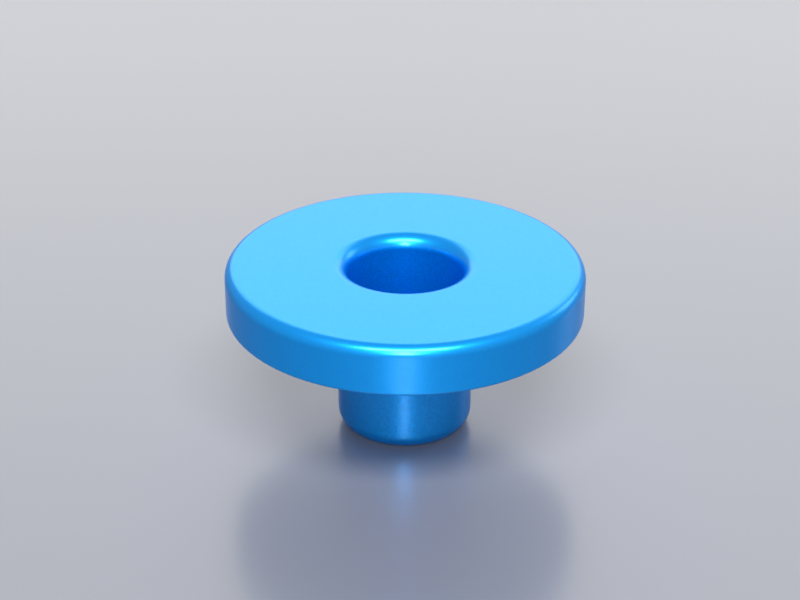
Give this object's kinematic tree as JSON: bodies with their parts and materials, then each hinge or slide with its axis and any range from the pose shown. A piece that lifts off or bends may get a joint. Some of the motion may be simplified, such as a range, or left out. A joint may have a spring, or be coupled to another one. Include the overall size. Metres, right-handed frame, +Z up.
{
  "type": "flanged bush",
  "caption": "Turned aluminium bush: a thick round flange over a short thin-walled sleeve with a blind bore, rounded at its mouth, rim and end, to locate and seat a pin or tube in a plate.",
  "frame": {"origin": "centre of the sleeve's flat end face, on the axis of the turning", "axes": "+Z up along the axis, from the sleeve's end to the flange's top face; X and Y are equal"},
  "size_m": [0.05, 0.05, 0.025],
  "materials": {
    "blue_anodised": "bead-blasted and anodised blue, satin"
  },
  "bodies": {
    "root": {"flanged_bush": "blue_anodised"}
  },
  "joints": []
}
